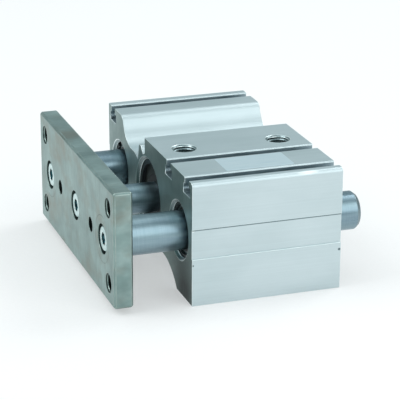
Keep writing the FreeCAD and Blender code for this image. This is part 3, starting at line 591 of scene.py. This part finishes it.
def hole_pattern(name):
    """Half of each spacing of a mount's four holes, and the holes' radius in millimetres."""
    dims = mounts[name]["dims"]
    return dims["spacing_x_mm"] * MM / 2, dims["spacing_y_mm"] * MM / 2, dims["hole_r_mm"]


port_radius = mounts["front_port"]["dims"]["r_mm"]
port_starts = [(*mounts[port]["pos_m"][:2], BARREL_TOP - PORT_DEPTH)
               for port in ("front_port", "rear_port")]
half_length, half_width, base_radius = hole_pattern("base_mounting_holes")
base_starts = [(end * half_length, side * half_width, BASE_DEPTH)
               for end in BOTH_SIDES for side in BOTH_SIDES]
half_width, half_height, rear_radius = hole_pattern("rear_mounting_holes")
rear_starts = [(barrel_end - REAR_DEPTH, side * half_width, AXIS_HEIGHT + rise * half_height)
               for side in BOTH_SIDES for rise in BOTH_SIDES]
half_width, half_height, plate_radius = hole_pattern("plate_mounting_holes")
plate_starts = [(plate_front + PLATE_DEPTH, side * half_width, AXIS_HEIGHT + rise * half_height)
                for side in BOTH_SIDES for rise in BOTH_SIDES]

# Pitches are those of G 1/4, M10, M8 and M10.
barrel_threads = [
    wind_thread(port_starts, port_radius, pitch=1.337, turns=7.6, ridge=0.5, direction=UPRIGHT,
                finish=CUT_ALUMINIUM),
    wind_thread(base_starts, base_radius, pitch=1.5, turns=8.6, ridge=0.45, direction=UPRIGHT,
                finish=CUT_ALUMINIUM),
    wind_thread(rear_starts, rear_radius, pitch=1.25, turns=10.5, ridge=0.4, direction=ALONG_X,
                finish=CUT_ALUMINIUM),
]
plate_threads = [
    wind_thread(plate_starts, plate_radius, pitch=1.5, turns=5.0, ridge=0.45, direction=ALONG_X,
                finish=HOLE_SHADE),
]
place_piece("barrel_threads", join_meshes("barrel_threads", barrel_threads, CUT_ALUMINIUM),
            "cylinder")
place_piece("plate_threads", join_meshes("plate_threads", plate_threads, HOLE_SHADE),
            "carriage")


# ---------------------------------------------------------------- label

LABEL_MIDDLE = (1.05 * MM, -48.9 * MM)
LABEL_HALF_LENGTH = 17.95 * MM
LABEL_HALF_WIDTH = 9.5 * MM
LABEL_CORNER = 0.8 * MM
CORNER_STEPS = 4
LABEL_SUNK = 0.02 * MM           # its back lies this far inside the land, so that no gap shows
LABEL_PROUD = 0.05 * MM


def add_label():
    """Bare foil label on the land between the two right slots, its corners slightly round."""
    outline = []
    for quarter, (end, side) in enumerate(((1, 1), (-1, 1), (-1, -1), (1, -1))):
        along = LABEL_MIDDLE[0] + end * (LABEL_HALF_LENGTH - LABEL_CORNER)
        across = LABEL_MIDDLE[1] + side * (LABEL_HALF_WIDTH - LABEL_CORNER)
        for step in range(CORNER_STEPS + 1):
            angle = math.radians(90 * (quarter + step / CORNER_STEPS))
            outline.append((along + LABEL_CORNER * math.cos(angle),
                            across + LABEL_CORNER * math.sin(angle)))
    sheet = bmesh.new()
    bottom = [sheet.verts.new((*point, BARREL_TOP - LABEL_SUNK)) for point in outline]
    top = [sheet.verts.new((*point, BARREL_TOP + LABEL_PROUD)) for point in outline]
    sheet.faces.new(top)
    sheet.faces.new(bottom[::-1])
    for number, vertex in enumerate(bottom):
        after = (number + 1) % len(bottom)
        sheet.faces.new((vertex, bottom[after], top[after], top[number]))
    mesh = bpy.data.meshes.new("label")
    sheet.to_mesh(mesh)
    sheet.free()
    mesh.materials.append(SILVER_FOIL)
    place_piece("label", mesh, "cylinder")


add_label()


# ---------------------------------------------------------------- floor, light and camera

FLOOR_WHITE = 0.4                # share of plain white that eye and metal see in the floor
FLOOR_REACH = 12.0
FLOOR_DROP = 0.05 * MM           # the floor lies this far under the feet, so that none pierces it
CAMERA_PLACE = (-0.3025, -0.8483, 0.3511)
CAMERA_TILT = math.radians(70.2)
CAMERA_TURN = math.radians(-18.98)
CAMERA_ROLL = 0.0042             # radians
CAMERA_LENS = 162.4              # lens and sensor are in millimetres
CAMERA_SENSOR = 36


def add_floor():
    """A plain pale floor under the feet, large enough for every view."""
    material, tree = start_material("floor_paper")
    # Paper fibres are under 0.1 mm wide; drawn 2 mm wide, as a faint mottle.
    fibres = grain(tree, (2, 2, 2))
    paper = add_node(tree, "ShaderNodeBsdfPrincipled", {
        "Base Color": tinted(tree, fibres, "#F9F9F9", "#FBFBFB"), "Roughness": 0.9,
        "Specular IOR Level": 0.1}).outputs[0]
    white = add_node(tree, "ShaderNodeEmission", {"Strength": 1.0}).outputs[0]
    # Rays from the eye, and those that metal or glass passes on, see the paper whitened.
    rays = add_node(tree, "ShaderNodeLightPath").outputs
    seen = rays["Is Camera Ray"]
    for passed_on in ("Is Glossy Ray", "Is Transmission Ray"):
        seen = add_node(tree, "ShaderNodeMath", {0: seen, 1: rays[passed_on]},
                        operation="MAXIMUM").outputs[0]
    share = add_node(tree, "ShaderNodeMath", {0: seen, 1: FLOOR_WHITE}, operation="MULTIPLY")
    whole = add_node(tree, "ShaderNodeMixShader", {0: share.outputs[0], 1: paper, 2: white})
    add_node(tree, "ShaderNodeOutputMaterial", {"Surface": whole.outputs[0]})
    mesh = bpy.data.meshes.new("floor")
    corners = [(-FLOOR_REACH, -FLOOR_REACH, 0), (FLOOR_REACH, -FLOOR_REACH, 0),
               (FLOOR_REACH, FLOOR_REACH, 0), (-FLOOR_REACH, FLOOR_REACH, 0)]
    mesh.from_pydata(corners, [], [(0, 1, 2, 3)])
    mesh.materials.append(material)
    floor = bpy.data.objects.new("floor", mesh)
    bpy.context.scene.collection.objects.link(floor)
    floor.location.z = -FLOOR_DROP


def add_softbox(name, place, size, power):
    """A square softbox of this side and power, turned to the origin."""
    lamp = bpy.data.objects.new(name, bpy.data.lights.new(name, "AREA"))
    lamp.data.size = size
    lamp.data.energy = power
    lamp.location = place
    lamp.rotation_euler = (-Vector(place)).to_track_quat("-Z", "Y").to_euler()
    bpy.context.scene.collection.objects.link(lamp)


def add_world():
    """Studio surroundings: pale, a little cool."""
    world = bpy.data.worlds.new("studio")
    world.use_nodes = True
    world.node_tree.nodes.clear()
    sky = add_node(world.node_tree, "ShaderNodeBackground", {
        "Color": srgb("#B3C1C4"), "Strength": 1.0})
    add_node(world.node_tree, "ShaderNodeOutputWorld", {"Surface": sky.outputs[0]})
    bpy.context.scene.world = world


def add_camera():
    """The main view: from the front right, a little above."""
    camera = bpy.data.objects.new("camera", bpy.data.cameras.new("camera"))
    camera.data.lens = CAMERA_LENS
    camera.data.sensor_width = CAMERA_SENSOR
    camera.data.clip_start = 0.01
    camera.data.clip_end = 50
    camera.location = CAMERA_PLACE
    aim = Euler((CAMERA_TILT, 0, CAMERA_TURN)).to_quaternion()
    camera.rotation_euler = (aim @ Quaternion((0, 0, 1), CAMERA_ROLL)).to_euler()
    bpy.context.scene.collection.objects.link(camera)
    bpy.context.scene.camera = camera


add_floor()
add_world()
add_softbox("overhead_softbox", (-0.3, 0.2, 1.7), size=1.6, power=5.0)
add_softbox("right_softbox", (1.15, 0.35, 1.35), size=0.9, power=8.5)
add_softbox("left_softbox", (-1.1, 0.1, 1.3), size=0.9, power=7.0)
add_softbox("low_softbox", (0.37, -0.98, 0.66), size=1.0, power=4.3)
add_camera()
bpy.context.scene.view_settings.view_transform = "Standard"
